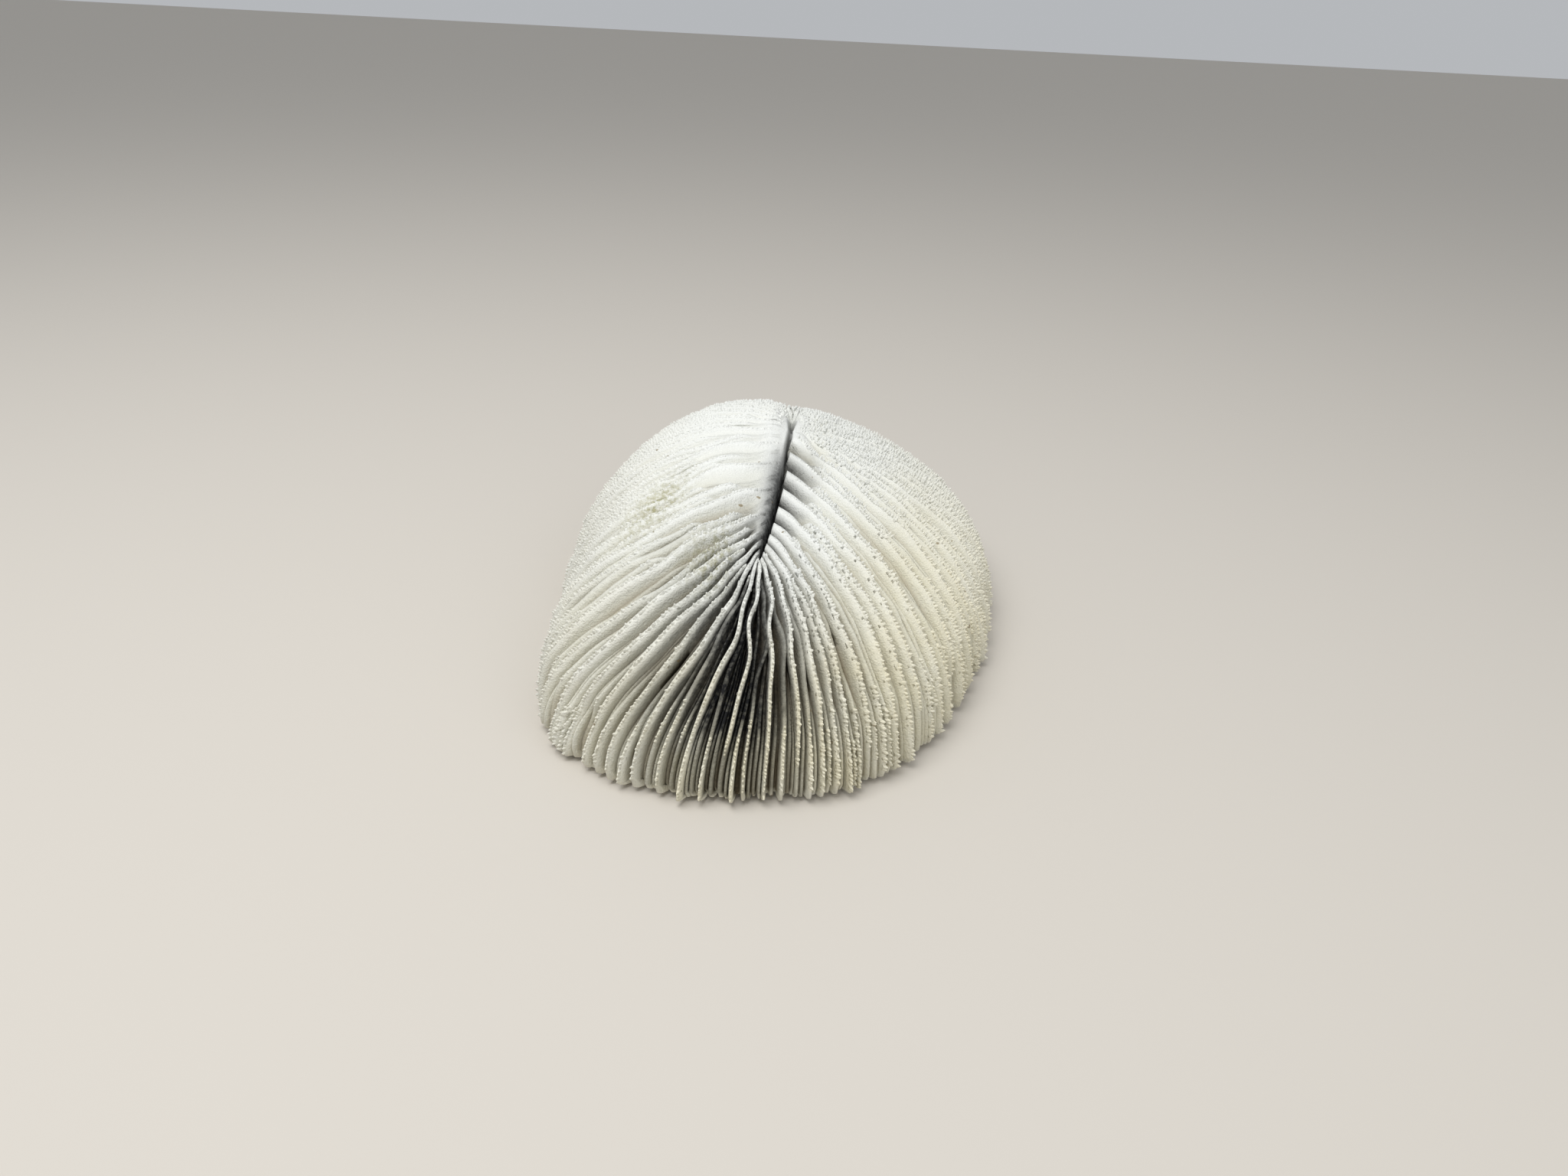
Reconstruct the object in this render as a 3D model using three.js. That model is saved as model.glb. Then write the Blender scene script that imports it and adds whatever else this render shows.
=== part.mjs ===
// Mushroom coral skeleton: one oval, high-domed disc that lived unattached on the sea bed.
// A long furrow runs along the top, and upright plates fan out from it and run down to the rim.
// Millimetres, +Z up. The furrow lies along Y and the flat underside rests on z = 0.
import * as THREE from "three";

const { smoothstep } = THREE.MathUtils;
const turn = 2 * Math.PI;

// Rim outline in plan. An angle of 0 looks to the front end (-Y) and a quarter turn to +X.
const halfWidth = 60;
const frontReach = 92;
const backReach = 79.5;
const frontSkew = -0.054;
const frontTriple = { cos: 0.03, sin: -0.028 };
const frontQuad = { cos: -0.044, sin: 0.024 };
const leftBulge = { angle: 5.43, size: 0.053, spread: 0.25 };
const leftWaist = { angle: 4.98, size: -0.052, spread: 0.2 };

// Dome
const crownHeight = 47;
const rimHeight = 2.5;
const domeFullness = { inner: 2.23, outer: 0.55 };
const frontFall = 0.147;
const backFall = 0.21;
const leftRise = 0.073;

// Furrow on top
const furrowFront = -53;
const furrowBack = 54;
const furrowMiddle = 2.2;
const furrowBend = { size: 5.6, power: 3 };
const furrowDepth = 9;
const furrowEndShare = 0.5;
const furrowWall = 3.2;

// The plates sweep forward: they leave the furrow behind the place they reach on the rim.
const sweep = 0.55;
const sweepCentre = 0.75;
// On the left they run forward first and turn out lower down.
const leftBend = { angle: 5.28, turn: 0.38, spread: 0.75, onset: 0.2, power: 2.2 };

// Plates and the gaps between them
const plateCount = 160;
const gapDepth = 2.2;
const fanDepth = 2.6;
const fanSpread = 0.5;
const wornShare = 0.5;
const wornAngle = 4.9;
const wornSpread = 0.75;
const wornReach = 0.6;
const plateOnset = 0.06;
const secondStart = 0.14;
const thirdStart = 0.34;
const startScatter = 0.08;
const goldenShare = 0.618;
const sway = 0.22;
const swayWaves = 9;
const swayDrift = 5;

// Underside
const baseInset = 6;

// Rows of the surface: the first few by distance from the furrow, the rest by share of the way out
const furrowRows = [0.5, 1.6, furrowWall];
const outerRows = [0.1, 0.22, 0.36, 0.5, 0.64, 0.77, 0.88, 0.955, 0.988, 1];
const differenceStep = 0.004;

// Smooth hump around one angle
function hump(angle, centre, spread) {
  const gap = Math.atan2(Math.sin(angle - centre), Math.cos(angle - centre));
  return Math.exp(-((gap / spread) ** 2));
}

// Plan point of the rim: an oval with a fuller front half, a bulge and a waist on the left
function rimPoint(angle) {
  const facing = (1 + Math.cos(angle)) / 2;
  const triple = frontTriple.cos * Math.cos(3 * angle) + frontTriple.sin * Math.sin(3 * angle);
  const quad = frontQuad.cos * Math.cos(4 * angle) + frontQuad.sin * Math.sin(4 * angle);
  let stretch = 1 + facing * (frontSkew * Math.sin(2 * angle) + triple + quad);
  stretch += leftBulge.size * hump(angle, leftBulge.angle, leftBulge.spread);
  stretch += leftWaist.size * hump(angle, leftWaist.angle, leftWaist.spread);
  const reach = Math.cos(angle) > 0 ? frontReach : backReach;
  return new THREE.Vector2(halfWidth * stretch * Math.sin(angle), -reach * stretch * Math.cos(angle));
}

// Share of the way along the furrow, front to back, where the plate at an angle begins
function furrowShare(angle) {
  const even = (1 - Math.cos(angle)) / 2;
  return even + sweep * Math.sin(angle) ** 2 * (sweepCentre - even);
}

// Plan point on the furrow's line, which bends to the left at its front end
function furrowPoint(angle) {
  const share = furrowShare(angle);
  const x = furrowMiddle - furrowBend.size * (1 - share) ** furrowBend.power;
  return new THREE.Vector2(x, furrowFront + (furrowBack - furrowFront) * share);
}

// Turn of a plate's line away from its place on the rim
function plateBend(angle, out) {
  const fade = smoothstep(out, 0, leftBend.onset) * (1 - out ** leftBend.power);
  return leftBend.turn * hump(angle, leftBend.angle, leftBend.spread) * fade;
}

// Distance out from the furrow for a row
function rowDistance(row, length) {
  if (row < furrowRows.length) {
    return furrowRows[row];
  }
  return furrowWall + (length - furrowWall) * outerRows[row - furrowRows.length];
}

// Skin of the dome along the plate tips, at an angle and a distance out from the furrow
function skinPoint(angle, distance) {
  const start = furrowPoint(angle);
  const path = rimPoint(angle).sub(start);
  const length = path.length();
  const out = Math.min(distance / length, 1);
  const along = furrowShare(angle);
  const fromMiddle = 2 * along - 1;
  const shoulder = 4 * out * (1 - out);
  const endFall = fromMiddle < 0 ? frontFall : backFall;
  const crest = crownHeight * (1 - endFall * fromMiddle ** 2 - leftRise * Math.sin(angle) * shoulder);
  const fall = Math.pow(1 - Math.pow(out, domeFullness.inner), domeFullness.outer);
  const depth = furrowDepth * (furrowEndShare + (1 - furrowEndShare) * Math.sin(Math.PI * along));
  const drop = depth * (1 - smoothstep(distance, 0, furrowWall));
  const plan = start.addScaledVector(path, out);
  return new THREE.Vector3(plan.x, plan.y, rimHeight + (crest - rimHeight) * fall - drop);
}

// Outward normal of the skin, from small steps round and outward
function skinNormal(angle, distance, length) {
  const step = differenceStep * length;
  const inner = Math.max(distance - step, 0);
  const outer = Math.min(distance + step, length);
  const outward = skinPoint(angle, outer).sub(skinPoint(angle, inner));
  const round = skinPoint(angle + differenceStep, distance).sub(skinPoint(angle - differenceStep, distance));
  return round.cross(outward).negate().normalize();
}

// Depth of the gaps: deepest in the front fan, shallow on the worn left side, none in the furrow floor
function gapAt(angle, distance, out) {
  const fan = fanDepth * hump(angle, 0, fanSpread) * Math.sin(Math.PI * Math.sqrt(out));
  const worn = 1 - wornShare * hump(angle, wornAngle, wornSpread) * (1 - smoothstep(out, wornReach, 1));
  return (gapDepth + fan) * worn * smoothstep(distance, 0, furrowWall);
}

// Where a plate begins: the first cycle at the furrow, the others further out
function plateStart(plate) {
  const scatter = startScatter * (((plate * goldenShare) % 1) - 0.5);
  if (plate % 4 === 0) {
    return -plateOnset;
  }
  return (plate % 2 === 0 ? secondStart : thirdStart) + scatter;
}

// One point of the surface: even columns are plate crests, odd columns gap floors
function surfacePoint(column, row) {
  const pitch = turn / (2 * plateCount);
  const evenAngle = (column + 0.5) * pitch;
  const length = rimPoint(evenAngle).distanceTo(furrowPoint(evenAngle));
  const distance = rowDistance(row, length);
  const out = distance / length;
  const wave = Math.sin(swayWaves * out + swayDrift * evenAngle) * Math.sin(Math.PI * out);
  const angle = evenAngle + plateBend(evenAngle, out) + sway * pitch * wave;
  let sunk = 1;
  if (column % 2 === 0) {
    const start = plateStart(column / 2);
    sunk = 1 - smoothstep(out, start, start + plateOnset);
  }
  const reach = rimPoint(angle).distanceTo(furrowPoint(angle));
  const place = Math.min(distance, reach);
  const point = skinPoint(angle, place);
  return point.addScaledVector(skinNormal(angle, place, reach), -sunk * gapAt(angle, place, out));
}

// Point of the flat base below a column, set in from the rim
function basePoint(column) {
  const angle = ((column + 0.5) * turn) / (2 * plateCount);
  const start = furrowPoint(angle);
  const path = rimPoint(angle).sub(start);
  const plan = start.addScaledVector(path, 1 - baseInset / path.length());
  return new THREE.Vector3(plan.x, plan.y, 0);
}

// Closed skin: the rows from furrow to rim, the ring under the rim, the base and the furrow floor
function coralGeometry() {
  const columns = 2 * plateCount;
  const rows = furrowRows.length + outerRows.length;
  const corners = [];
  for (let row = 0; row < rows; row += 1) {
    for (let column = 0; column < columns; column += 1) {
      corners.push(...surfacePoint(column, row).toArray());
    }
  }
  for (let column = 0; column < columns; column += 1) {
    corners.push(...basePoint(column).toArray());
  }
  const baseMiddle = corners.length / 3;
  corners.push(furrowPoint(turn / 4).x, 0, 0);

  const faces = [];
  const quad = (a, b, c, d) => faces.push(a, b, c, a, c, d);
  for (let row = 0; row < rows; row += 1) {
    for (let column = 0; column < columns; column += 1) {
      const next = (column + 1) % columns;
      const inner = row * columns;
      const outer = inner + columns;
      quad(inner + column, outer + column, outer + next, inner + next);
    }
  }
  const baseRing = rows * columns;
  for (let column = 0; column < columns; column += 1) {
    faces.push(baseRing + ((column + 1) % columns), baseRing + column, baseMiddle);
  }
  for (let column = 0; column < plateCount - 1; column += 1) {
    const across = columns - 1 - column;
    quad(column, column + 1, across - 1, across);
  }

  const geometry = new THREE.BufferGeometry();
  geometry.setAttribute("position", new THREE.Float32BufferAttribute(corners, 3));
  geometry.setIndex(faces);
  geometry.computeBoundingBox();
  const middle = geometry.boundingBox.getCenter(new THREE.Vector3());
  geometry.translate(-middle.x, -middle.y, 0);
  geometry.computeVertexNormals();
  return geometry;
}

const skeleton = new THREE.MeshStandardMaterial({ color: 0xe3e1d6, roughness: 0.92, metalness: 0 });
skeleton.name = "coral_skeleton";

const coral = new THREE.Mesh(coralGeometry(), skeleton);
coral.name = "mushroom_coral";

const part = new THREE.Group();
part.name = "mushroom_coral_part";
part.add(coral);

export default part;
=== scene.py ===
import bpy
import numpy as np
from mathutils import Matrix, Vector


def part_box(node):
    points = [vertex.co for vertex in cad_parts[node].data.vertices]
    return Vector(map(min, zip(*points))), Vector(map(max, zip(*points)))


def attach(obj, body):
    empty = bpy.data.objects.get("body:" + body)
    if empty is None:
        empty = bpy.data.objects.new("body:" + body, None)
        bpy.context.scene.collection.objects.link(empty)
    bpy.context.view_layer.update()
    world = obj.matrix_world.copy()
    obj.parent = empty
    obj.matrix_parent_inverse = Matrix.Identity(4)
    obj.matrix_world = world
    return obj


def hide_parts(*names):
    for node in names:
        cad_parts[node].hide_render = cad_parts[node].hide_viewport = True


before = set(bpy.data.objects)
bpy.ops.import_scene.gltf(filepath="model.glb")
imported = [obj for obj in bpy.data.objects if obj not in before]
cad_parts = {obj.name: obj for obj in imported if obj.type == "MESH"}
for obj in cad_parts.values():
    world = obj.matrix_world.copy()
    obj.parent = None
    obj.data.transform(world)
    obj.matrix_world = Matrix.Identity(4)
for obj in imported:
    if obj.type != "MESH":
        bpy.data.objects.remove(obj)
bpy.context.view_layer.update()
nodeLow, nodeHigh = (np.array(corner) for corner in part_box("mushroom_coral"))
tau = 2 * np.pi
rng = np.random.default_rng(29)
print("frame loaded, CAD box in mm", np.round((nodeHigh - nodeLow) * 1000, 1))

# shape of the dome in mm, the same as the solid's
dome = {
    "halfWidth": 60.0, "frontReach": 92.0, "backReach": 79.5,
    "frontSkew": -0.054, "frontTriple": (0.03, -0.028), "frontQuad": (-0.044, 0.024),
    "leftBulge": (5.43, 0.053, 0.25), "leftWaist": (4.98, -0.052, 0.2),  # angle, size, spread
    "crownHeight": 47.0, "rimHeight": 2.5, "fullness": (2.23, 0.55),
    "frontFall": 0.147, "backFall": 0.21, "leftRise": 0.073,
    "furrowFront": -53.0, "furrowBack": 54.0, "furrowMiddle": 2.2, "furrowBend": (5.6, 3),
    "sweep": 0.55, "sweepCentre": 0.75,
    "pinched": 0.12, "rimSteps": 721,  # share up to which the furrow pinches the skin, steps round the rim
}


# 0 below low, 1 above high, a cubic ease between
def ease(value, low, high):
    x = np.clip((value - low) / (high - low), 0, 1)
    return x * x * (3 - 2 * x)


# bell curve round one angle, with the angle wrapped to half a turn either way
def hump(angle, centre, spread):
    gap = (angle - centre + np.pi) % tau - np.pi
    return np.exp(-(gap / spread) ** 2)


# rim in plan: an oval with a longer front, low waves on the front half, a bulge and a waist on the left
def rimPlan(angle):
    facing = (1 + np.cos(angle)) / 2
    waves = dome["frontSkew"] * np.sin(2 * angle)
    for order, (cosine, sine) in ((3, dome["frontTriple"]), (4, dome["frontQuad"])):
        waves = waves + cosine * np.cos(order * angle) + sine * np.sin(order * angle)
    stretch = 1 + facing * waves
    for centre, size, spread in (dome["leftBulge"], dome["leftWaist"]):
        stretch = stretch + size * hump(angle, centre, spread)
    reach = np.where(np.cos(angle) > 0, dome["frontReach"], dome["backReach"])
    return np.stack([dome["halfWidth"] * stretch * np.sin(angle), -reach * stretch * np.cos(angle)], -1)


# share of the furrow's length, front to back, where the plate at an angle leaves it
def furrowShare(angle):
    even = (1 - np.cos(angle)) / 2
    return even + dome["sweep"] * np.sin(angle) ** 2 * (dome["sweepCentre"] - even)


# plan point on the furrow's line, which bends to the left at its front end
def furrowPlan(angle):
    share = furrowShare(angle)
    y = dome["furrowFront"] + (dome["furrowBack"] - dome["furrowFront"]) * share
    size, power = dome["furrowBend"]
    return np.stack([dome["furrowMiddle"] - size * (1 - share) ** power, y], -1)


# plan length of the way from furrow to rim
def wayLength(angle):
    return np.linalg.norm(rimPlan(angle) - furrowPlan(angle), axis=-1)


# dome through the plate tips: a superellipse falls from the crest along the furrow to the rim
def skin(angle, out):
    start = furrowPlan(angle)
    along = furrowShare(angle)
    endFall = np.where(along < 0.5, dome["frontFall"], dome["backFall"])
    crest = dome["crownHeight"] * (
        1 - endFall * (2 * along - 1) ** 2 - dome["leftRise"] * np.sin(angle) * 4 * out * (1 - out))
    fall = (1 - out ** dome["fullness"][0]) ** dome["fullness"][1]
    height = dome["rimHeight"] + (crest - dome["rimHeight"]) * fall
    return np.concatenate([start + (rimPlan(angle) - start) * out[..., None], height[..., None]], -1)


# steps of the skin outward and round, for a small change of share and of angle
def skinSteps(angle, out):
    small = 0.004
    outward = skin(angle, np.minimum(out + small, 1)) - skin(angle, np.maximum(out - small, 0))
    around = (skin(angle + small, out) - skin(angle - small, out)) / (2 * small)
    return outward / np.linalg.norm(outward, axis=-1, keepdims=True), around


# outward normal: the cross product of the two steps, taken a little way out,
# because the furrow's ends pinch them
def skinNormal(angle, out):
    normal = np.cross(*skinSteps(angle, np.maximum(out, dome["pinched"])))
    return normal / np.linalg.norm(normal, axis=-1, keepdims=True)


# millimetres of the formulas to metres in the frame, fitted to the CAD solid's box
def toFrame(points):
    edge = rimPlan(np.linspace(0, tau, dome["rimSteps"]))
    low, high = edge.min(0), edge.max(0)
    scale = (nodeHigh - nodeLow)[:2] / (high - low)
    plan = (points[..., :2] - (low + high) / 2) * scale + (nodeHigh + nodeLow)[:2] / 2
    return np.concatenate([plan, points[..., 2:] / 1000], -1)


# one smooth mesh from arrays of points, quads and triangles, with named values per point
def meshPiece(name, points, quads, triangles, values, material):
    mesh = bpy.data.meshes.new(name)
    corners = np.concatenate([quads.ravel(), triangles.ravel()]).astype(np.int32)
    sizes = np.concatenate([np.full(len(quads), 4), np.full(len(triangles), 3)]).astype(np.int32)
    mesh.vertices.add(len(points))
    mesh.vertices.foreach_set("co", points.astype(np.float32).ravel())
    mesh.loops.add(len(corners))
    mesh.loops.foreach_set("vertex_index", corners)
    mesh.polygons.add(len(sizes))
    mesh.polygons.foreach_set("loop_start", (np.cumsum(sizes) - sizes).astype(np.int32))
    mesh.update(calc_edges=True)
    mesh.polygons.foreach_set("use_smooth", np.ones(len(sizes), bool))
    for key, value in values.items():
        attribute = mesh.attributes.new(key, "FLOAT", "POINT")
        attribute.data.foreach_set("value", value.astype(np.float32).ravel())
    mesh.materials.append(material)
    mesh.validate()
    piece = bpy.data.objects.new(name, mesh)
    bpy.context.scene.collection.objects.link(piece)
    print(name, len(quads) * 2 + len(triangles), "triangles")
    return piece


# where painted shade, cream and tints lie, by angle and share of the way out
marks = {
    "fan": (6.16, 0.38, 1.0),       # painted black shade in the front fan's gaps: angle, spread, strength
    "fanWidth": (1.15, 0.15),       # factor on its spread by the furrow, and how much of that the rim lacks
    "fanThin": (0.45, 0.9, 1.0),    # strength lost between these shares
    "lobes": (0.85, 0.05, 0.25),    # painted shade between the lobes of the right lip: strength, shares where it fades
    "floor": (0.6, 2.2),            # painted shade on the furrow's floor fades between these half widths
    "lip": (5.2, 0.95),             # painted grey shade on the furrow's left lip: reach in mm, strength
    "lipSide": (0.02, 0.3),         # it comes in as the plates turn to the left
    "lipEnd": (0.3, 0.55),          # and ends between these shares of the furrow
    "olive": ((5.78, 0.4, 0.16, 0.14), (5.24, 0.55, 0.14, 0.12)),  # tint: angle, share, spreads
    "warmRim": (0.25, 0.3, 1.0),    # cream at the rim, partly painted shade and bounce light: strength, shares where it comes in
    "warmSides": ((0.75, 1.0, 0.75, 0.25, 0.9), (0.0, 0.7, 0.5, 0.6, 1.0)),  # angle, spread, then the same
}


# painted shade bound to the gaps is a bell round the front fan that thins out to the rim, and some between
# the lobes
def gapShadeAt(angle, out):
    centre, spread, strength = marks["fan"]
    wide, narrow = marks["fanWidth"]
    lost, *thinning = marks["fanThin"]
    between, *fading = marks["lobes"]
    fan = strength * hump(angle, centre, spread * (wide - narrow * out)) * (1 - lost * ease(out, *thinning))
    return np.maximum(fan, between * lobesAt(angle) * (1 - ease(out, *fading)))


# painted black shade covers the furrow's floor, and painted grey shade falls off over the left lip as a bell
# of the distance
def slitShadeAt(angle, distance):
    share = furrowShare(angle)
    half, black = (np.interp(share, furrow["share"], furrow[key]) for key in ("half", "black"))
    inner, outer = marks["floor"]
    floor = black * (1 - ease(distance, inner * half, outer * half))
    reach, strength = marks["lip"]
    left = ease(-np.sin(angle), *marks["lipSide"]) * (1 - ease(share, *marks["lipEnd"]))
    return np.maximum(floor, strength * left * np.exp(-(distance / reach) ** 2))


# tint patches are bells in angle and share
def oliveAt(angle, out):
    return sum(hump(angle, a, sa) * np.exp(-((out - s) / ss) ** 2) for a, s, sa, ss in marks["olive"])


# cream rises towards the rim, and more so in bells on the front right and in front: a real cream tone, partly
# painted shade and warm bounce light from the table on the lower sides
def warmAt(angle, out):
    strength, *shares = marks["warmRim"]
    warm = strength * ease(out, *shares)
    for centre, spread, strength, *shares in marks["warmSides"]:
        warm = warm + strength * hump(angle, centre, spread) * ease(out, *shares)
    return np.clip(warm, 0, 1)


# plates: sizes in mm, shares of the way out, and one value per cycle from the first to the fourth
# the fan at the front end has few tall plates, the front bands have twice as many, the rest more even ones
plates = {
    "count": 320, "group": 8, "rows": 54,
    "nearRows": (0.1, 0.35, 0.65, 1.0, 1.4, 1.9, 2.5, 3.3, 4.4, 5.8),  # first rows, in mm from the furrow
    "rowPower": 1.6, "usualWay": 62.0,        # the others close up to the rim; usual length of the way
    "start": (-1.0, 0.13, 0.3, 0.62), "startScatter": (0.0, 0.04, 0.09, 0.12),
    "asleep": 0.05, "growth": (0.06, 0.25),   # breadth before the start, shares round it over which it grows
    "breadth": (1.15, 1.1, 1.0, 0.6), "breadthScatter": (0.84, 1.16),
    "frontBreadth": (1.8, 1.65, 0.6, 0.4), "frontShares": (0.1, 0.5, 0.75, 1.0),  # and where it holds
    "crowd": (0.5, 0.6, 0.48), "groupScatter": (0.85, 1.15),  # closer groups: angle, spread, part lost
    "sway": 0.24, "fanSway": 1.2, "swayWaves": ((6.5, 1.0, 1.0), (19.0, 2.7, 0.6)),  # rate, drift, size
    "phaseStep": (0.2, 1.2),                  # drift from plate to plate
    "thick": (0.62, 0.6, 0.5, 0.4), "thickScatter": (0.88, 1.12), "wornThick": 1.6,
    "rimThick": 1.7, "rimShares": (0.55, 0.95), "fanThin": 0.9,  # thicker rim, less so in the fan
    "lobes": (0.16, 0.34, 1.05, 1.3),         # rounded ends on the right lip fade in and out by angle
    "lobeThick": (1.3, 2.8), "lobeSide": 0.7, "lobeReach": (5.0, 15.0), "lobeDepth": (5.5, 6.0, 20.0),
    "flank": (0.16, 0.35),                    # side step in mm at this share of the plate's height
    "crestRoom": 0.43, "footRoom": 0.48,      # half the most that crest and foot take of their cell
    "tilt": 0.24, "tiltTurn": 4.0,            # crests stand off the middle of their cell, away from the front
    "tiltShares": (0.3, 0.35), "tiltReach": (6.0, 18.0), "slope": 0.3, "gapShift": 0.38,
    "sunk": (0.03, 0.06, 0.12, 0.5),          # crests below the skin, as shares of the gap depth
    "frontSunk": (0.02, 0.06, 0.58, 0.78), "fanSunk": (0.02, 0.34, 0.66, 0.82),
    "rimSunk": (0.03, 0.08, 0.18, 0.45), "rimLevel": (0.78, 0.98), "sunkScatter": (0.6, 1.4), "wornFlat": 0.5,
    "shortShare": 0.45, "shortSunk": 0.42,    # part of the second cycle that stays low in front
    "onset": 0.08, "crestDrop": 0.45, "tallDrop": 0.6, "leastDrop": 0.3,
    "ripple": 0.14, "rippleWaves": ((23.0, 2.4, 1.0), (47.0, 5.1, 0.7)), "rippleReach": (4.0, 12.0),
    "fringe": (-1.6, 0.9), "fringeShare": 0.93, "tipRise": (-1.3, 1.5), "tipShare": 0.9,  # uneven tips
    "gapDepth": 3.0, "frontDepth": 5.8, "rimDepth": 4.2, "rimStart": 0.78,
    "front": (0.08, 0.45, 0.75), "frontWiden": (0.12, 0.6),  # front region: angle, spread, more at the rim
    "fan": (-0.05, 0.3), "fanLip": 0.3,       # fan region: angle, spread, and its spread by the furrow
    "worn": (4.9, 0.7, 0.62), "wornEnd": (0.55, 0.95),  # worn left side: angle, spread, share of depth lost
    "leftBend": (5.28, 0.75, 0.38, 2.2),      # plates on the left run forward, then turn out: turn, power
    "backBend": (1.3, 0.35, 0.38, 0.2),       # a few on the right leave the furrow further back: turn, reach
    "tall": (0.55, 1.1, 2.0, 2.8), "tallEnd": (0.65, 0.95),  # tall teeth fade in and out by angle
    "smoothLip": (1.5, 11.0),                 # elsewhere the gaps begin within these distances
    "shade": (0.5, 0.8, 0.8), "shadeDepth": 2.5,  # painted shade of the gaps: least, at the rim, from this share
}
# the furrow by share of its length from the front: half width, depth, fall and reach of the lips, blackness
# of the painted shade on its floor
furrow = {
    "share": (0.0, 0.1, 0.3, 0.5, 0.62, 0.78, 1.0),
    "half": (0.5, 0.7, 0.85, 0.7, 0.45, 0.9, 1.1),
    "deep": (3.0, 6.0, 7.0, 5.5, 3.0, 3.5, 3.5),
    "lipFall": (0.4, 0.8, 1.1, 1.1, 1.3, 3.0, 5.5),
    "lipReach": (3.0, 4.0, 4.5, 4.5, 4.0, 4.2, 4.8),
    "black": (0.9, 1.0, 1.0, 0.85, 0.55, 0.45, 0.35),
    "wall": (0.35, 1.6), "floorRise": 0.3,    # the wall stands between these half widths
}
# hollows: angle, share, spreads and depth in mm
hollows = ((5.24, 0.5, 0.2, 0.13, 1.7), (5.577, 0.56, 0.03, 0.025, 1.3), (5.62, 0.97, 0.07, 0.03, 1.6))


# cycle of each plate by its place in the group: the first, the middle one, the quarters and the odd ones
def plateCycles():
    group = plates["group"]
    place = np.arange(plates["count"]) % group
    return np.select([place == 0, place == group // 2, place % 2 == 0], [0, 1, 2], 3)


# one value for each plate, picked by its cycle
def perCycle(key):
    return np.array(plates[key])[plateCycles()]


# share of the worn look: a bell on the left that ends before the rim
def wornAt(angle, out):
    centre, spread, _ = plates["worn"]
    return hump(angle, centre, spread) * (1 - ease(out, *plates["wornEnd"]))


# share of the front look: a bell round the front end that widens towards the rim
def frontAt(angle, out):
    centre, spread, more = plates["front"]
    return hump(angle, centre, spread + more * ease(out, *plates["frontWiden"]))


# share of the fan look: a bell round the front end
def fanAt(angle):
    return hump(angle, *plates["fan"])


# share of the lobes: a rise and a fall by angle
def lobesAt(angle):
    a, b, c, d = plates["lobes"]
    return ease(angle, a, b) * (1 - ease(angle, c, d))


# share of the tall teeth: a rise and a fall by angle, and an end before the rim
def tallAt(angle, out):
    a, b, c, d = plates["tall"]
    return ease(angle, a, b) * (1 - ease(angle, c, d)) * (1 - ease(out, *plates["tallEnd"]))


# turn of a plate's line away from its place on the rim: a bell by angle that fades outward
def bendAt(angle, out):
    left, leftSpread, leftTurn, power = plates["leftBend"]
    back, backSpread, backTurn, reach = plates["backBend"]
    return (leftTurn * hump(angle, left, leftSpread) * (1 - out ** power)
            + backTurn * hump(angle, back, backSpread) * np.exp(-out / reach))


# gap depth: deeper in front and by the lobes, less where worn, none on the smooth lips, evened out at the rim
def gapAt(angle, distance, out):
    deep = plates["gapDepth"] + (plates["frontDepth"] - plates["gapDepth"]) * frontAt(angle, out)
    deep = deep * (1 - plates["worn"][2] * wornAt(angle, out))
    smooth = 1 - np.maximum(lobesAt(angle), hump(angle, 0, plates["fanLip"]))
    deep = deep * (1 - smooth * (1 - ease(distance, *plates["smoothLip"])))
    lobeDepth, *reach = plates["lobeDepth"]
    deep = np.maximum(deep, lobeDepth * lobesAt(angle) * (1 - ease(distance, *reach)))
    return deep + (plates["rimDepth"] - deep) * ease(out, plates["rimStart"], 1)


# fall into the furrow: a steep wall, after a gentle rounding of its lip
def slitAt(angle, distance):
    half, deep, fall, reach = (np.interp(furrowShare(angle), furrow["share"], furrow[key])
                               for key in ("half", "deep", "lipFall", "lipReach"))
    inner, outer = furrow["wall"]
    return deep * (1 - ease(distance, inner * half, outer * half)) + fall * np.exp(-(distance / reach) ** 2)


# sum of bells in angle and share
def hollowAt(angle, out):
    return sum(deep * hump(angle, a, sa) * np.exp(-((out - s) / ss) ** 2) for a, s, sa, ss, deep in hollows)


# share of the way out of each row: the first rows lie at set distances from the furrow,
# and the rest share out what is left, closing up by a power towards the rim
def rowShares(length):
    near = np.array(plates["nearRows"])
    far = 1 - (1 - np.linspace(0, 1, plates["rows"] - len(near) + 1)[1:]) ** plates["rowPower"]
    first = near[-1] / length[len(near):]
    return np.concatenate([near[:, None] / length[:len(near)], first + (1 - first) * far[:, None]])


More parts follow.
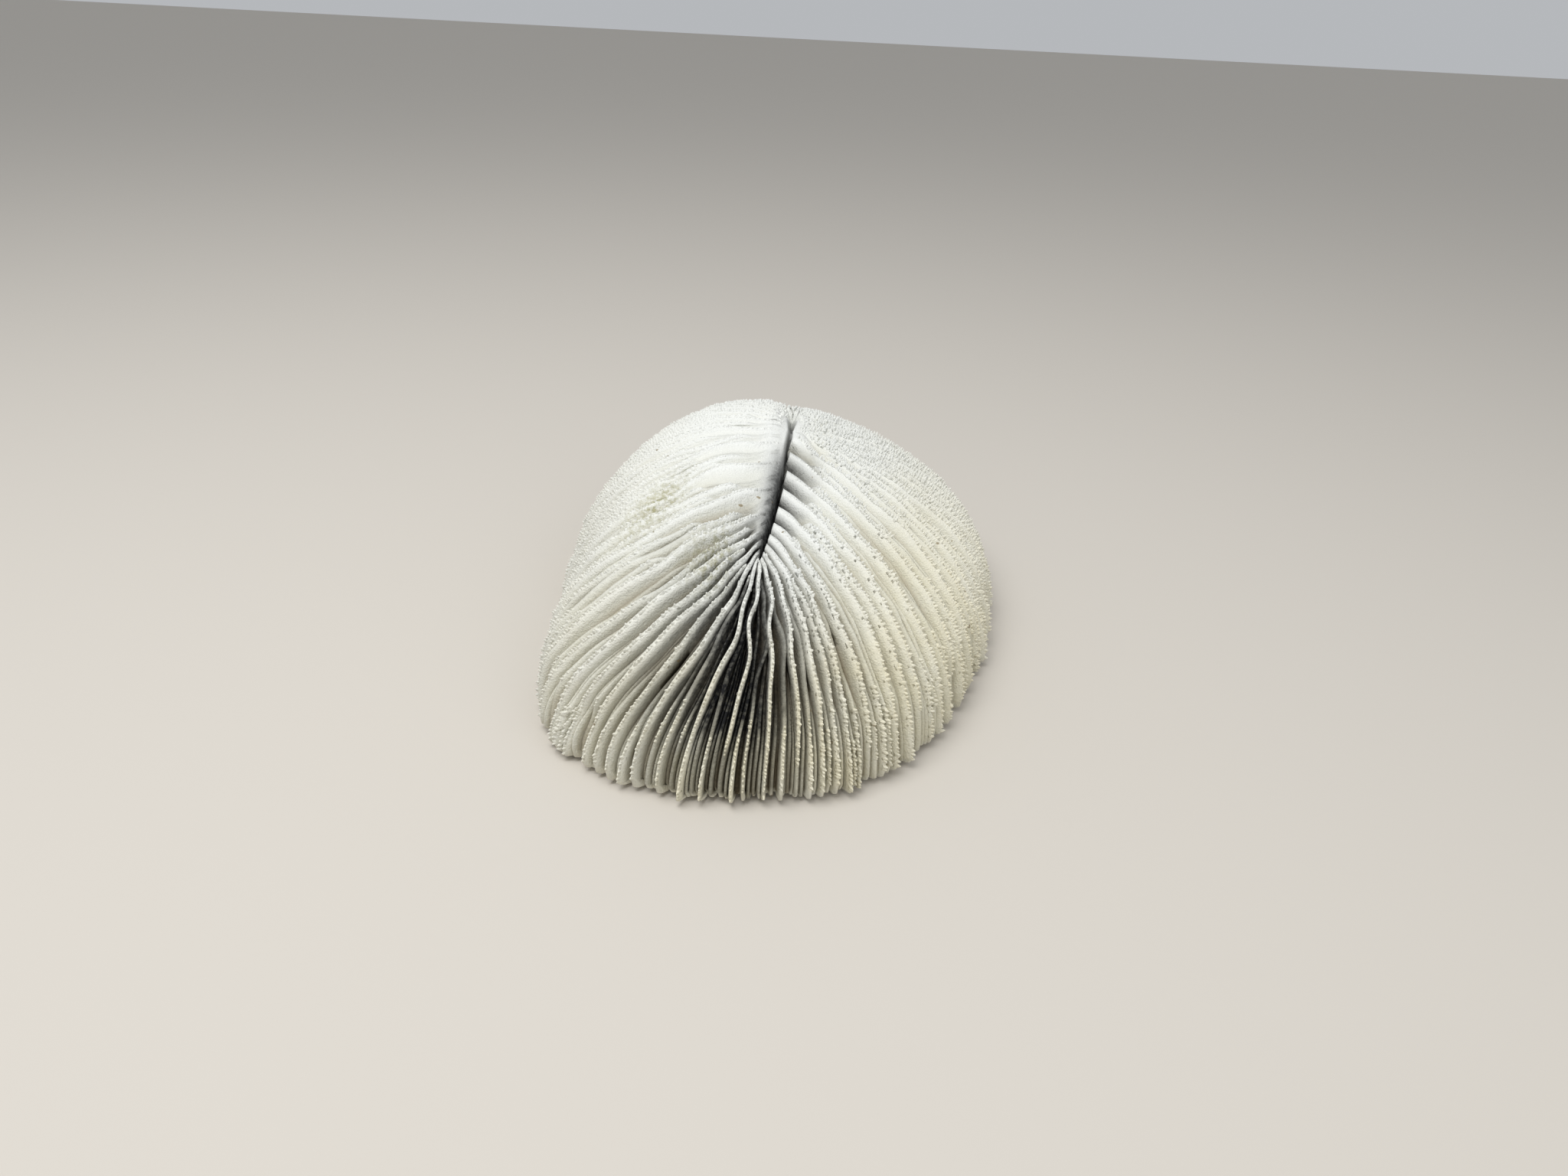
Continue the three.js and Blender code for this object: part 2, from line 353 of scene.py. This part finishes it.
# angle of each plate's middle and breadth of its cell, row by row
# a group keeps its part of the turn and shares it out among its plates by breadth,
# so first plates run straight, and a plate that hasn't begun gets a sliver
def plateCells(start, phase):
    count, group = plates["count"], plates["group"]
    guess = rowShares(np.full((plates["rows"], 1), plates["usualWay"]))
    even = (np.arange(count) + 0.5) / count * tau
    before, after = plates["growth"]
    grow = ease(guess, start - before, start + after)
    inner, full, fade, end = plates["frontShares"]
    ahead = frontAt(even, guess) * ease(guess, inner, full) * (1 - ease(guess, fade, end))
    breadth = perCycle("breadth") + (perCycle("frontBreadth") - perCycle("breadth")) * ahead
    breadth = breadth * rng.uniform(*plates["breadthScatter"], count)
    width = breadth * (plates["asleep"] + (1 - plates["asleep"]) * grow)
    groups = width.reshape(len(guess), -1, group)
    centre, spread, less = plates["crowd"]
    part = rng.uniform(*plates["groupScatter"], count // group)
    part = part * (1 - less * hump(even[group // 2::group], centre, spread))
    width = (groups / groups.sum(2, keepdims=True) * part[:, None]).reshape(width.shape)
    edge = np.cumsum(width, 1) / part.sum() * tau
    edge = np.concatenate([0 * edge[:, :1], edge], 1)
    edge = edge + bendAt(edge, guess)
    cell = np.diff(edge, axis=1)
    waves = sum(size * np.sin(rate * guess + drift * phase) for rate, drift, size in plates["swayWaves"])
    swing = plates["sway"] * (1 + plates["fanSway"] * fanAt(even)) * np.sin(np.pi * guess) * waves
    return (edge[:, 1:] + edge[:, :-1]) / 2 + swing * cell, cell


# angles of the five columns of each plate: flank, crest, crest, flank, gap
# a size in mm becomes an angle by the length of one radian across the plate, and the tilt follows the
# sine of the angle, so that the flank towards the front is the broad one
def plateColumns(middle, cell):
    length = wayLength(middle)
    out = rowShares(length)
    distance = out * length
    worn = wornAt(middle, out)
    lobed = (1 - ease(distance, *plates["lobeReach"])) * lobesAt(middle)
    thick = perCycle("thick") * rng.uniform(*plates["thickScatter"], plates["count"])
    thick = thick * (1 + plates["wornThick"] * worn)
    thick = thick * (1 + lobed * np.interp(middle, plates["lobes"][1:3], plates["lobeThick"]))
    more = (plates["rimThick"] - 1) * ease(out, *plates["rimShares"])
    thick = thick * (1 + more * (1 - plates["fanThin"] * fanAt(middle)))
    outward, around = skinSteps(middle, out)
    radian = np.linalg.norm(around - (around * outward).sum(-1, keepdims=True) * outward, axis=-1)

    least, ahead = plates["tiltShares"]
    tilt = np.tanh(plates["tiltTurn"] * np.sin(middle)) * (least + ahead * (1 + np.cos(middle)))
    tilt = tilt * ease(distance, *plates["tiltReach"]) * (1 - worn)
    room = np.abs(plates["tilt"] * tilt)
    crest = np.minimum(thick / 2 / radian, (plates["crestRoom"] - room) * cell)
    side = (plates["flank"][0] + plates["lobeSide"] * lobed) / radian
    side = crest + np.minimum(side, (plates["footRoom"] - room) * cell - crest)
    middle = middle + plates["tilt"] * tilt * cell
    right = middle + side + np.maximum(-tilt, 0) * plates["slope"] * cell
    left = middle - (side + np.maximum(tilt, 0) * plates["slope"] * cell)
    following = np.roll(left, -1, 1)
    following[:, -1] += tau
    floor = right + (following - right) * (0.5 - plates["gapShift"] * tilt)
    return middle, out, worn, np.stack([left, middle - crest, middle + crest, right, floor], -1)


# share of the gap depth by which each crest is sunk: by cycle and region, with a scatter, less where worn
def crestShares(middle, out, worn):
    count = plates["count"]
    short = (plateCycles() == 1) & (rng.uniform(0, 1, count) < plates["shortShare"])
    ahead = perCycle("frontSunk") + (perCycle("fanSunk") - perCycle("frontSunk")) * fanAt(middle)
    ahead = np.maximum(ahead, plates["shortSunk"] * short)
    sunk = perCycle("sunk") + (ahead - perCycle("sunk")) * frontAt(middle, out)
    sunk = sunk + (perCycle("rimSunk") - sunk) * ease(out, *plates["rimLevel"])
    return sunk * rng.uniform(*plates["sunkScatter"], count) * (1 - plates["wornFlat"] * worn)


# the plated top as a grid of rows by plates by columns: the skin, less the sink of each column along the
# skin's normal and the fall into the furrow
def plateGrid():
    count = plates["count"]
    start = perCycle("start") + perCycle("startScatter") * rng.uniform(-1, 1, count)
    phase = np.cumsum(rng.uniform(*plates["phaseStep"], count))
    middle, shares, worn, angle = plateColumns(*plateCells(start, phase))
    out = np.repeat(shares[..., None], angle.shape[-1], -1)
    distance = out * wayLength(angle)
    gap, slit = gapAt(angle, distance, out), slitAt(angle, distance)
    rise = ease(out, start[:, None], start[:, None] + plates["onset"])
    sunk = crestShares(middle, shares, worn)[..., None]
    ripple = plates["ripple"] * sum(size * np.sin(rate * out + drift * phase[:, None])
                                    for rate, drift, size in plates["rippleWaves"])
    fringe = rng.uniform(*plates["fringe"], count)[:, None] * ease(out, plates["fringeShare"], 1)
    level = plates["crestDrop"] + plates["tallDrop"] * tallAt(middle, shares)[..., None] + sunk * gap
    level = np.maximum(level + ripple * ease(distance, *plates["rippleReach"]), plates["leastDrop"]) - fringe
    crestSink = gap * (1 - rise) + np.minimum(level, gap) * rise
    down = plates["flank"][1]
    columnShare = np.array([down, 0, 0, down, 1])
    sink = crestSink + (gap - crestSink) * columnShare
    points = skin(angle, out) - skinNormal(angle, out) * (sink + hollowAt(angle, out))[..., None]
    points[..., 2] -= slit + (np.maximum(slit - gap, furrow["floorRise"]) - slit) * columnShare
    tipRise = rng.uniform(*plates["tipRise"], count)[:, None] * ease(out, plates["tipShare"], 1)
    points[..., 2] += (1 - columnShare) * tipRise
    # painted shade: each point's depth in its gap as a share, stronger in front and at the rim, darkens its
    # colour
    least, atRim, rimFrom = plates["shade"]
    shade = np.maximum(frontAt(middle, shares), atRim * ease(shares, rimFrom, 1))
    shade = least + (1 - least) * shade
    depth = np.clip(sink / np.maximum(gap, plates["shadeDepth"]), 0, 1) * shade[..., None]
    return angle, distance, out, points, depth, rise[..., 1]


# underside: insets from the rim and heights of its rows in mm, under the plates and under the notches between
underside = {
    "inset": (-1.0, 1.6, 6.0, 14.0, 26.0, 40.0), "height": (1.2, 0.5, 0.0, 0.0, 0.0, 0.0),
    "notch": (4.0, 4.6, 6.6, 14.0, 26.0, 40.0), "notchHeight": (1.6, 1.0, 0.5, 0.4, 0.25, 0.1),
    "tuck": (0.5, 1.6, 2.4, 3.0, 3.6, 4.2),  # least step in from each tip
    "reach": 0.8, "tipShare": 0.7,           # most of the way in, most of the tip's height
    # the underside gets a fixed painted shade by its gap value, and a share of cream
    "scarRise": 0.25, "gap": 0.25, "warm": 0.6,
}


# rows of the underside: each lies in from its tip along the way back to the furrow, and lowers to the base
def undersideRows(tips, edge):
    between = np.tile([False, False, False, False, True], plates["count"])
    start = furrowPlan(edge)
    path = rimPlan(edge) - start
    length = np.linalg.norm(path, axis=-1)

    def either(notchKey, plateKey):
        notch, plate = (np.array(underside[key])[:, None] for key in (notchKey, plateKey))
        return np.where(between, notch, plate)

    tipInset = ((rimPlan(edge) - tips[:, :2]) * path).sum(-1) / length
    inset = np.maximum(either("notch", "inset"), tipInset + np.array(underside["tuck"])[:, None])
    inset = np.minimum(inset, underside["reach"] * length)
    height = np.minimum(either("notchHeight", "height"), underside["tipShare"] * tips[:, 2])
    return np.concatenate([start + path * (1 - inset / length)[..., None], height[..., None]], -1)


# dome, furrow and plates in one closed skin: rows of quads, rungs across the furrow and a cap below
def coralBody(material):
    grid = plateGrid()
    angle, distance, out, points, depth, _ = grid
    rows, columns = len(angle), angle[0].size
    top = points.reshape(rows, columns, 3)
    below = undersideRows(top[-1], angle[-1].reshape(columns))
    scar = np.append(below[-1, :, :2].mean(0), underside["scarRise"])
    everything = np.concatenate([np.concatenate([top, below]).reshape(-1, 3), scar[None]])
    levels = rows + len(below)

    row, column = np.meshgrid(np.arange(levels - 1), np.arange(columns), indexing="ij")
    after = (column + 1) % columns
    quads = np.stack([row * columns + column, (row + 1) * columns + column,
                      (row + 1) * columns + after, row * columns + after], -1).reshape(-1, 4)
    ladder = np.arange(columns // 2 - 1)
    rungs = np.stack([ladder, ladder + 1, columns - 2 - ladder, columns - 1 - ladder], -1)
    ring = np.arange(columns)
    last = (levels - 1) * columns
    cap = np.stack([last + (ring + 1) % columns, last + ring, np.full(columns, levels * columns)], -1)

    def spread(grid, value):
        return np.append(grid.ravel(), np.full(below[..., 0].size + 1, value))

    # painted shade by gap depth, of the fan, lobes and furrow, with cream and olive; the underside gets fixed
    # values
    values = {
        "gap": spread(depth, underside["gap"]), "gapShade": spread(gapShadeAt(angle, out), 0.0),
        "blackShade": spread(slitShadeAt(angle, distance), 0.0), "olive": spread(oliveAt(angle, out), 0.0),
        "warm": spread(warmAt(angle, out), underside["warm"]),
    }
    faces = np.concatenate([quads, rungs])
    return meshPiece("coralBody", toFrame(everything), faces, cap, values, material), grid


# teeth: sizes in mm, rings of each spike from the root up
teeth = {
    "pitch": 0.82, "frontPitch": 0.08, "jitter": 0.42,
    "bandShare": 0.8, "usualWay": 60.0,  # share where front bands are judged, usual length of the way
    "height": 0.68, "tallHeight": 1.0, "wornHeight": 0.3, "lobeHeight": 0.3, "lobeShares": (0.12, 0.24),
    "sunk": (0.2, 0.5), "lowShare": 0.55, "lowNarrow": 0.35, "lowShade": 0.4,  # smaller on sunk crests
    "wornBroad": 0.35, "frontBroad": 0.05, "fanNarrow": 0.15,
    "radius": (0.58, 0.36, 0.12), "level": (-0.6, 0.35, 0.85), "flat": 0.72, "sides": 6,
    "scatter": 0.12, "sizeScatter": 0.4, "lean": 0.28, "back": 0.15,
    "leastRise": 0.6, "furrowClear": (2.0, 1.5), "deepest": (0.36, 0.1),  # none short of these
}


# vectors at a length of one
def unit(vector):
    return vector / np.maximum(np.linalg.norm(vector, axis=-1, keepdims=True), 1e-9)


# row, plate and part of the next step for each tooth: even steps of length along each crest, with a jitter
# the row is how many rows that length has passed, and the part is the rest by proportion
def toothPlaces(grid, line):
    angle, distance, out, _, depth, rise = grid
    step = np.linalg.norm(np.diff(line, axis=0), axis=-1)
    run = np.concatenate([np.zeros((1, step.shape[1])), np.cumsum(step, 0)])
    slots = np.arange(0.5, run[-1].max() / teeth["pitch"])[:, None]
    spacing = teeth["pitch"] * (1 + teeth["frontPitch"] * frontAt(angle[-1, :, 1], teeth["bandShare"]))
    jitter = rng.uniform(-teeth["jitter"], teeth["jitter"], (len(slots), run.shape[1]))
    want = (slots + jitter) * spacing
    passed = np.clip((run[None] <= want[:, None]).sum(1) - 1, 0, len(run) - 2)
    plate = np.broadcast_to(np.arange(run.shape[1]), want.shape)
    part = (want - run[passed, plate]) / np.maximum(run[passed + 1, plate] - run[passed, plate], 1e-6)
    turn, share = angle[passed, plate, 1], out[passed, plate, 1]
    clear, lobeClear = teeth["furrowClear"]
    deepest, frontLess = teeth["deepest"]
    keep = (want < run[-1]) & (rise[passed, plate] > teeth["leastRise"])
    keep &= distance[passed, plate, 1] > clear + lobeClear * lobesAt(turn)
    keep &= depth[passed, plate, 1] < deepest - frontLess * frontAt(turn, share)
    return passed[keep], plate[keep], part[keep]


# height and breadth: taller on the upper right, lower on the lobes, where worn and on sunk crests
def toothSizes(turn, share, low, size):
    worn, sunk = wornAt(turn, share), ease(low, *teeth["sunk"])
    height = teeth["height"] + (teeth["tallHeight"] - teeth["height"]) * tallAt(turn, share)
    rounded = lobesAt(turn) * (1 - ease(share, *teeth["lobeShares"]))
    height = height + (teeth["lobeHeight"] - height) * rounded
    height = (height + (teeth["wornHeight"] - height) * worn) * size * (1 - (1 - teeth["lowShare"]) * sunk)
    broad = 1 + teeth["wornBroad"] * worn + teeth["frontBroad"] * frontAt(turn, teeth["bandShare"])
    broad = size ** 0.5 * (broad - teeth["fanNarrow"] * fanAt(turn)) * (1 - teeth["lowNarrow"] * sunk)
    return height, broad


# faces of one tooth: a fan at the tip, two bands of quads and a fan under the root
def toothFaces():
    sides = teeth["sides"]
    here = 1 + np.arange(sides)
    there = np.roll(here, -1)
    tipFan = np.stack([0 * here, here, there], -1)
    rootFan = np.stack([0 * here + 3 * sides + 1, there + 2 * sides, here + 2 * sides], -1)
    walls = [np.stack([here + down, here + down + sides, there + down + sides, there + down], -1)
             for down in (0, sides)]
    return np.concatenate([tipFan, rootFan]), np.concatenate(walls)


# teeth on the plates' edges: six-sided spikes that lean a little, set side by side along each crest
def coralTeeth(material, grid):
    angle, _, out, points, depth, _ = grid
    line = (points[:, :, 1] + points[:, :, 2]) / 2
    passed, plate, part = toothPlaces(grid, line)

    def blend(field):
        return field[passed, plate] * (1 - part[:, None]) + field[passed + 1, plate] * part[:, None]

    up = unit(blend(skinNormal(angle[:, :, 1:3].mean(2), out[:, :, 1])))
    ahead = unit(blend(np.gradient(line, axis=0)))
    sideways = np.cross(up, ahead)
    share, turn, low = (blend(field[:, :, 1, None])[:, 0] for field in (out, angle, depth))
    total = len(passed)
    size = 1 + teeth["sizeScatter"] * rng.uniform(-1, 1, total)
    height, broad = toothSizes(turn, share, low, size)
    shift = (teeth["scatter"] * rng.uniform(-1, 1, total))[:, None]
    foot = blend(line) + blend(points[:, :, 2] - points[:, :, 1]) * shift
    slant = rng.uniform(-1, 1, (total, 1)) * sideways + rng.uniform(-1, 1, (total, 1)) * ahead
    back = teeth["back"] * np.tanh(plates["tiltTurn"] * np.sin(turn))[:, None]
    lean = up + back * sideways + teeth["lean"] * slant
    spokes = np.linspace(0, tau, teeth["sides"], endpoint=False)[:, None]
    circle = ahead[:, None] * np.cos(spokes) + teeth["flat"] * sideways[:, None] * np.sin(spokes)

    # a ring above the foot lies at a share of the height, and one below it at a depth in mm
    def ringAt(level, radius):
        middle = foot + lean * (height * max(level, 0) + min(level, 0))[:, None]
        return middle[:, None] + circle * (radius * broad)[:, None, None]

    tip = (foot + lean * height[:, None])[:, None]
    root = (foot + lean * teeth["level"][0])[:, None]
    rings = [ringAt(level, radius) for level, radius in zip(teeth["level"], teeth["radius"])]
    corners = np.concatenate([tip, *rings[::-1], root], 1)
    each = corners.shape[1]
    # teeth on sunk crests take a part of their crest's painted gap shade
    fields = {
        "gap": teeth["lowShade"] * low, "gapShade": gapShadeAt(turn, share),
        "blackShade": slitShadeAt(turn, share * teeth["usualWay"]), "olive": oliveAt(turn, share),
        "warm": warmAt(turn, share),
    }
    fans, walls = toothFaces()
    pieces = []
    half = total // 2
    for name, some in (("coralTeethA", slice(0, half)), ("coralTeethB", slice(half, total))):
        base = (np.arange(some.stop - some.start) * each)[:, None, None]
        values = {key: np.repeat(value[some], each) for key, value in fields.items()}
        places = toFrame(corners[some].reshape(-1, 3))
        pieces.append(meshPiece(name, places, (walls[None] + base).reshape(-1, 4),
                                (fans[None] + base).reshape(-1, 3), values, material))
    return pieces


# finish: colours are linear, a noise has its scale, detail and roughness, a range its input and output ends
skeleton = {
    # shade is a painted shade colour for the gaps; tan paints deeper shade in the gaps and also colours the
    # specks
    "white": (0.8, 0.805, 0.765), "cream": (0.77, 0.725, 0.56),
    "shade": (0.58, 0.56, 0.43), "tan": (0.26, 0.2, 0.11),
    "blackShade": (0.012, 0.012, 0.013), "oliveTint": (0.30, 0.28, 0.10),
    "roughness": 0.93, "specular": 0.25, "grain": 0.55, "grainHeight": 0.0006,
    "cloudNoise": (60, 4, 0.6), "grainNoise": (900, 3, 0.6), "fineNoise": (2600, 2, 0.5),
    "speckNoise": (330, 1, 0.5), "speckRange": (0.765, 0.785, 0.0, 0.8),
    "warmCloud": (0.3, 0.7, 0.6, 1.2), "shadeCloud": (0.3, 0.7, 0.8, 1.1),
    "shadeRange": (0.12, 0.5, 0.0, 0.5), "tanRange": (0.42, 0.85, 0.0, 0.9),
    "oliveGrain": (0.42, 0.62, 0.0, 0.75),
    "blackShadeGrain": (0.3, 0.6, 0.85, 1.05), "gapShadeRange": (0.08, 0.36, 0.0, 1.0),
}


# white to cream by warmth, which is partly painted shade and bounce light, to painted shade and tan deeper in
# the gaps, to olive in patches, to painted black shade in the fan's and lobes' gaps and in the furrow
def skeletonMaterial():
    material = bpy.data.materials.new("coralSkeleton")
    material.use_nodes = True
    tree = material.node_tree
    shader = tree.nodes["Principled BSDF"]
    shader.inputs["Roughness"].default_value = skeleton["roughness"]
    shader.inputs["Specular IOR Level"].default_value = skeleton["specular"]
    place = tree.nodes.new("ShaderNodeTexCoord").outputs["Object"]

    def reading(name):
        node = tree.nodes.new("ShaderNodeAttribute")
        node.attribute_name = name
        return node.outputs["Fac"]

    def noise(scale, detail, roughness):
        node = tree.nodes.new("ShaderNodeTexNoise")
        node.inputs["Scale"].default_value = scale
        node.inputs["Detail"].default_value = detail
        node.inputs["Roughness"].default_value = roughness
        tree.links.new(place, node.inputs["Vector"])
        return node.outputs["Fac"]

    def ranged(value, low, high, first, second):
        node = tree.nodes.new("ShaderNodeMapRange")
        for key, number in zip(("From Min", "From Max", "To Min", "To Max"), (low, high, first, second)):
            node.inputs[key].default_value = number
        tree.links.new(value, node.inputs["Value"])
        return node.outputs["Result"]

    def worked(kind, first, second):
        node = tree.nodes.new("ShaderNodeMath")
        node.operation = kind
        for socket, value in zip(node.inputs, (first, second)):
            tree.links.new(value, socket)
        return node.outputs["Value"]

    def mixed(share, first, second):
        node = tree.nodes.new("ShaderNodeMix")
        node.data_type = "RGBA"
        tree.links.new(share, node.inputs["Factor"])
        for key, value in (("A", first), ("B", second)):
            socket = next(s for s in node.inputs if s.name == key and s.type == "RGBA")
            if isinstance(value, tuple):
                socket.default_value = (*value, 1)
            else:
                tree.links.new(value, socket)
        return next(s for s in node.outputs if s.type == "RGBA")

    gap, gapShade, blackShade, olive, warm = (reading(name) for name in ("gap", "gapShade", "blackShade", "olive", "warm"))
    cloud, grain = noise(*skeleton["cloudNoise"]), noise(*skeleton["grainNoise"])
    fine, speck = noise(*skeleton["fineNoise"]), noise(*skeleton["speckNoise"])
    # cream by warmth: a real tone, partly painted shade and bounce light
    warmth = worked("MULTIPLY", warm, ranged(cloud, *skeleton["warmCloud"]))
    colour = mixed(warmth, skeleton["white"], skeleton["cream"])
    # painted shade: the shade colour, then tan, deeper in the gaps
    dim = worked("MULTIPLY", ranged(gap, *skeleton["shadeRange"]), ranged(cloud, *skeleton["shadeCloud"]))
    colour = mixed(dim, colour, skeleton["shade"])
    colour = mixed(ranged(gap, *skeleton["tanRange"]), colour, skeleton["tan"])
    tinted = worked("MULTIPLY", olive, ranged(grain, *skeleton["oliveGrain"]))
    colour = mixed(tinted, colour, skeleton["oliveTint"])
    # painted black shade: the fan's and lobes' shade where it meets a gap, and the furrow's, broken up by
    # grain
    boundShade = worked("MULTIPLY", gapShade, ranged(gap, *skeleton["gapShadeRange"]))
    blackShadeMix = worked("MULTIPLY", worked("MAXIMUM", boundShade, blackShade), ranged(grain, *skeleton["blackShadeGrain"]))
    colour = mixed(blackShadeMix, colour, skeleton["blackShade"])
    colour = mixed(ranged(speck, *skeleton["speckRange"]), colour, skeleton["tan"])
    tree.links.new(colour, shader.inputs["Base Color"])

    bump = tree.nodes.new("ShaderNodeBump")
    bump.inputs["Strength"].default_value = skeleton["grain"]
    bump.inputs["Distance"].default_value = skeleton["grainHeight"]
    tree.links.new(worked("ADD", grain, fine), bump.inputs["Height"])
    tree.links.new(bump.outputs["Normal"], shader.inputs["Normal"])
    return material


finish = skeletonMaterial()
body, plateLines = coralBody(finish)
toothed = coralTeeth(finish, plateLines)
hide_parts("mushroom_coral")
for piece in (body, *toothed):
    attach(piece, "root")
print("coral made")

# plain pale floor and soft studio light
studio = {
    "floor": (0.60, 0.56, 0.50), "floorHalf": 3.0, "floorHeight": -0.0003, "floorRoughness": 0.8,
    "world": (0.93, 0.96, 1.0), "worldStrength": 0.5,
    "key": (-0.18, -0.2, 0.7), "keySize": 0.5, "keyPower": 4.3,
    "fill": (0.45, -0.5, 0.5), "fillSize": 0.5, "fillPower": 0.7,
}


# a square of floor just below the part, an even sky, and two lamps that face the origin
def makeStudio():
    mesh = bpy.data.meshes.new("floor")
    half = studio["floorHalf"]
    sides = ((-half, -half), (half, -half), (half, half), (-half, half))
    mesh.from_pydata([(x, y, studio["floorHeight"]) for x, y in sides], [], [(0, 1, 2, 3)])
    ground = bpy.data.objects.new("floor", mesh)
    paint = bpy.data.materials.new("floorPaint")
    paint.use_nodes = True
    shader = paint.node_tree.nodes["Principled BSDF"]
    shader.inputs["Base Color"].default_value = (*studio["floor"], 1)
    shader.inputs["Roughness"].default_value = studio["floorRoughness"]
    mesh.materials.append(paint)
    bpy.context.scene.collection.objects.link(ground)
    world = bpy.data.worlds.new("studio")
    world.use_nodes = True
    sky = world.node_tree.nodes["Background"]
    sky.inputs["Color"].default_value = (*studio["world"], 1)
    sky.inputs["Strength"].default_value = studio["worldStrength"]
    bpy.context.scene.world = world
    bpy.context.scene.view_settings.view_transform = "Standard"
    for name in ("key", "fill"):
        lamp = bpy.data.lights.new(name, "AREA")
        lamp.size = studio[name + "Size"]
        lamp.energy = studio[name + "Power"]
        light = bpy.data.objects.new(name, lamp)
        light.location = studio[name]
        light.rotation_euler = (-Vector(studio[name])).to_track_quat("-Z", "Y").to_euler()
        bpy.context.scene.collection.objects.link(light)


# the photo's viewpoint: place in metres, angles in degrees, lens in mm on a 36 mm wide sensor
viewpoint = {"place": (0.00105, -0.2791, 0.154), "pitch": 27.7, "roll": 3.0, "lens": 27.03, "nearest": 0.01}


# right and up are the level axes turned by the roll, and the view runs forward and down by the pitch
def makeCamera():
    pitch, roll = np.radians(viewpoint["pitch"]), np.radians(viewpoint["roll"])
    level, rising = np.array([1, 0, 0]), np.array([0, np.sin(pitch), np.cos(pitch)])
    right = np.cos(roll) * level + np.sin(roll) * rising
    up = np.cos(roll) * rising - np.sin(roll) * level
    turned = Matrix(np.stack([right, up, np.cross(right, up)], 1).tolist()).to_4x4()
    lens = bpy.data.cameras.new("photoCamera")
    lens.lens = viewpoint["lens"]
    lens.clip_start = viewpoint["nearest"]
    eye = bpy.data.objects.new("photoCamera", lens)
    eye.matrix_world = Matrix.Translation(viewpoint["place"]) @ turned
    bpy.context.scene.collection.objects.link(eye)
    bpy.context.scene.camera = eye


makeStudio()
makeCamera()
bpy.context.view_layer.update()
